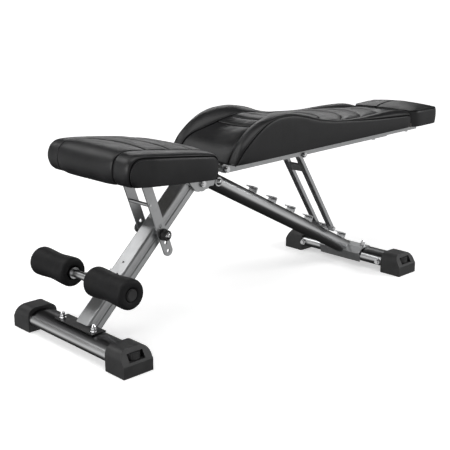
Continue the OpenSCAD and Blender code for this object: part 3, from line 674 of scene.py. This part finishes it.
def head_rest_pad(start, end, drop):
    """The head pad: a box cushion with one seam round its top, highest at its far edge."""
    # along, half width at the seam, height of the middle, height of the seam
    stations = [
        (start + 3, 92, -drop, -drop), (start, 95, 8, 8), (start, 96, 26, 26),
        (start + 2, 98, 38, 37.5), (start + 6, 103, 44, 41.5), (start + 13, 111, 46, 42.5),
        (start + 24, 118.5, 47, 42.5), (start + 42, 121, 48, 42.5), (start + 72, 121, 50, 42.5),
        (end - 30, 121, 51.5, 42), (end - 13, 119.5, 51.5, 42), (end - 4, 116, 46.5, 40),
        (end, 112, 34, 32), (end, 110, 12, 12), (end - 3, 103, -drop, -drop)]
    lines = [[], [], [], [], []]
    for u, wide, high, edge in stations:
        lines[0].append((u, 0, high))
        lines[1].append((u, wide - 5, edge + 0.4*(high - edge)))
        lines[2].append((u, wide - 2.5, edge + 0.3*(high - edge)))
        lines[3].append((u, wide, edge))
        lines[4].append((u, wide - 2, -drop))
    return Pad(lines, cross_seams=(4,), long_seams=(2,))


def stitches(name, tracks, normals_from, body, length=3.0, gap=1.4, radius=0.42):
    """Short raised threads along each track, a list of points in metres, laid on the cover."""
    tree = BVHTree.FromObject(normals_from, bpy.context.evaluated_depsgraph_get())
    sides = 5
    ring = [(math.cos(2*math.pi*i/sides), math.sin(2*math.pi*i/sides)) for i in range(sides)]
    rings = ((-0.5, 0.35), (-0.32, 1.0), (0.32, 1.0), (0.5, 0.35))
    points, faces = [], []
    for track in tracks:
        track = np.asarray(track)
        run = np.concatenate([[0], np.cumsum(np.linalg.norm(np.diff(track, axis=0), axis=1))])
        for start in np.arange(gap*MM, run[-1] - (length + gap)*MM, (length + gap)*MM):
            ends = [Vector([np.interp(d, run, track[:, a]) for a in range(3)])
                    for d in (start, start + length*MM)]
            found = [tree.find_nearest(p) for p in ends]
            if None in (found[0][0], found[1][0]):
                continue
            a, b = found[0][0], found[1][0]
            up = (found[0][1] + found[1][1]).normalized()
            ahead = (b - a)
            if ahead.length < 0.3*length*MM:
                continue
            side = ahead.normalized().cross(up).normalized()
            base = len(points)
            for place, size in rings:
                centre = (a + b)/2 + ahead*place + up*radius*MM*0.45
                for x, y in ring:
                    points.append(centre + (side*x + up*y)*radius*MM*size)
            for r in range(len(rings) - 1):
                for i in range(sides):
                    j = (i + 1) % sides
                    faces.append((base + r*sides + i, base + r*sides + j,
                                  base + (r + 1)*sides + j, base + (r + 1)*sides + i))
            faces.append([base + i for i in reversed(range(sides))])
            faces.append([base + (len(rings) - 1)*sides + i for i in range(sides)])
    mesh = bpy.data.meshes.new(name)
    mesh.from_pydata([tuple(p) for p in points], [], faces)
    mesh.materials.append(threads)
    for face in mesh.polygons:
        face.use_smooth = True
    thread_object = bpy.data.objects.new(name, mesh)
    bpy.context.scene.collection.objects.link(thread_object)
    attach(thread_object, body)
    return thread_object


def track_beside(grid, columns, place, offset, first=2, last=-2):
    """The points that run offset millimetres from the seam at a column place, towards larger columns."""
    k = int(np.argmin(np.abs(columns - place)))
    run = across(grid)
    track = []
    for row in range(len(grid))[first:last]:
        target = run[row, k] + offset*MM
        track.append([np.interp(target, run[row], grid[row, :, a]) for a in range(3)])
    return track


def upholster():
    seat_joint = Vector(joints["seat_tilt"]["pos_m"])
    back_joint = Vector(joints["backrest_tilt"]["pos_m"])
    seat_origin = seat_joint + Vector((-0.326, 0, 0.0585))
    rail_top = 25*MM
    back_tilt = math.radians(1.4)
    back_origin = back_joint + rail_top*Vector((-math.sin(back_tilt), 0, math.cos(back_tilt)))
    jobs = [
        ("seat_upholstery", "seat", "seat_cushion", seat_pad(), seat_origin, math.radians(-3.6), {}),
        ("back_upholstery", "backrest", "back_cushion", back_pad(), back_origin, back_tilt, {}),
        ("head_upholstery", "backrest", "head_pad", head_rest_pad(*HEAD_SPAN, HEAD_DROP), back_origin,
         back_tilt, {"deep": 1.8, "panel": 0.0}),
    ]
    for name, body, node, pad, origin, tilt, shape in jobs:
        cover, grid, rows, columns = make_cover(name, pad, origin, tilt, **shape)
        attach(cover, body)
        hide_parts(node)
        tracks = []
        for side in (-1, 1):
            tracks.append(track_beside(grid, columns, side*2, side*FLANK_STITCH, 4, -4))
            if 1 in pad.long_seams:
                tracks.append(track_beside(grid, columns, side, side*INNER_STITCH, 4, -4))
        stitches(name.replace("upholstery", "stitching"), tracks, cover, body)


# ---------------------------------------------------------------- foam rollers
def foam_roller(side):
    """A foam sleeve with soft ends, a slight waist and a shallow ring round its plug."""
    node = "roller_" + side
    low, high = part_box(node)
    centre = (low + high)/2
    radius = (high.z - low.z)/2
    half = (high.y - low.y)/2
    bore = 10.05*MM
    soft = 9*MM
    waist = 3.2*MM
    profile = [(bore, -half + 5*MM), (16*MM, -half + 5*MM), (17*MM, -half + 1.5*MM),
               (19.5*MM, -half + 0.3*MM)]
    profile += [(radius - soft + soft*math.sin(a), -half + soft - soft*math.cos(a) - 0.3*MM*math.cos(a))
                for a in np.linspace(0.15, math.pi/2, 9)]
    for t in np.linspace(0, 1, 30)[1:-1]:
        y = -half + soft + 2*(half - soft)*t
        profile.append((radius - waist*math.sin(math.pi*t)**2, y))
    profile += [(r, -y) for r, y in profile[12::-1]]
    around = 96
    points, faces = [], []
    for i in range(around):
        turn = 2*math.pi*i/around
        for r, y in profile:
            points.append((centre.x + r*math.cos(turn), centre.y + y, centre.z + r*math.sin(turn)))
    count = len(profile)
    for i in range(around):
        j = (i + 1) % around
        for k in range(count):
            m = (k + 1) % count
            faces.append((i*count + k, i*count + m, j*count + m, j*count + k))
    mesh = bpy.data.meshes.new("foam_" + side)
    mesh.from_pydata(points, [], faces)
    mesh.materials.append(finishes["foam"])
    work = bmesh.new()
    work.from_mesh(mesh)
    bmesh.ops.recalc_face_normals(work, faces=work.faces)
    work.to_mesh(mesh)
    work.free()
    for face in mesh.polygons:
        face.use_smooth = True
    sleeve = bpy.data.objects.new("foam_" + side, mesh)
    bpy.context.scene.collection.objects.link(sleeve)
    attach(sleeve, node)
    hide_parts(node)


def lathe(name, profile, around=32):
    """A closed surface turned about Y. profile holds (radius, y) points that start and end on the axis."""
    points, faces = [], []
    count = len(profile)
    for i in range(around):
        turn = 2*math.pi*i/around
        points += [(r*math.cos(turn), y, r*math.sin(turn)) for r, y in profile]
    for i in range(around):
        j = (i + 1) % around
        faces += [(i*count + k, i*count + k + 1, j*count + k + 1, j*count + k) for k in range(count - 1)]
    mesh = bpy.data.meshes.new(name)
    mesh.from_pydata(points, [], faces)
    work = bmesh.new()
    work.from_mesh(mesh)
    bmesh.ops.remove_doubles(work, verts=work.verts, dist=0.001*MM)
    bmesh.ops.dissolve_degenerate(work, edges=work.edges, dist=0.0005*MM)
    bmesh.ops.recalc_face_normals(work, faces=work.faces)
    work.to_mesh(mesh)
    work.free()
    for face in mesh.polygons:
        face.use_smooth = True
    turned = bpy.data.objects.new(name, mesh)
    bpy.context.scene.collection.objects.link(turned)
    return turned


def knob_cap(side):
    """The plated screw cap in the middle of a knob's face: a flanged dome with a socket."""
    node = "knob_" + side
    low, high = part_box(node)
    outward = 1 if side == "left" else -1
    face = high.y if side == "left" else low.y
    profile = [(0, -2.5), (5.2, -2.5), (5.2, 0.3), (8.2, 0.3), (8.4, 0.8), (8.0, 1.4), (6.2, 1.7), (5.9, 2.6),
               (4.6, 3.7), (3.0, 4.2), (2.6, 4.1), (2.5, 2.2), (0, 2.0)]
    cap = lathe(node + "_cap", [(r*MM, outward*y*MM) for r, y in profile])
    cap.location = ((low.x + high.x)/2, face, (low.z + high.z)/2)
    cap.data.materials.append(finishes["zinc"])
    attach(cap, node)


# ---------------------------------------------------------------- the scene
add_camera()
add_stage()
finish_frame()
upholster()
for side in ("left", "right"):
    foam_roller(side)
    knob_cap(side)
